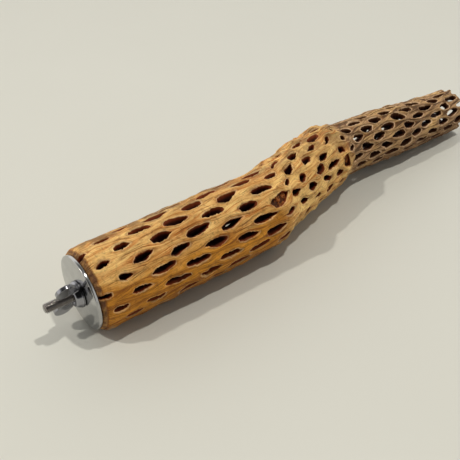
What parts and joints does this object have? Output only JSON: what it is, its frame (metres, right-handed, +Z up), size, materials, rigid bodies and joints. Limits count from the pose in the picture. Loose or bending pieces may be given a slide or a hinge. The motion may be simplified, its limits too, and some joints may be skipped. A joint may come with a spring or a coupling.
{
  "type": "cholla cactus skeleton perch",
  "caption": "Hollow cholla cactus skeleton stem, pierced all over by lens-shaped holes, lying down, made into a bolt-on perch by a washer, threaded stud and wing nut at its near end.",
  "frame": {"origin": "middle of the whole perch's box, on the table that it lies on", "axes": "+X along the stem from the bolted near end to the sawn far end, +Z up from the table"},
  "size_m": [0.3676, 0.0708, 0.0499],
  "materials": {
    "weathered_wood": "dry bare cactus wood, honey brown at the near length, pale at the joint, grey brown at the far length, dark in the holes",
    "plug_wood": "bare hardwood dowel end, glue darkened",
    "polished_steel": "polished stainless steel",
    "thread_steel": "bright rolled stainless thread",
    "cast_steel": "bright tumbled stainless casting"
  },
  "bodies": {
    "perch": {"cholla_stem": "weathered_wood", "end_plug": "plug_wood", "washer": "polished_steel", "hanger_bolt": "thread_steel"},
    "nut": {"wing_nut": "cast_steel"}
  },
  "joints": [
    {"name": "nut_turn", "type": "hinge", "parent": "perch", "child": "nut", "pos_m": [-0.16255, -0.01017, 0.0242], "axis": [-1, 0, 0], "range_deg": [0, 270]}
  ]
}
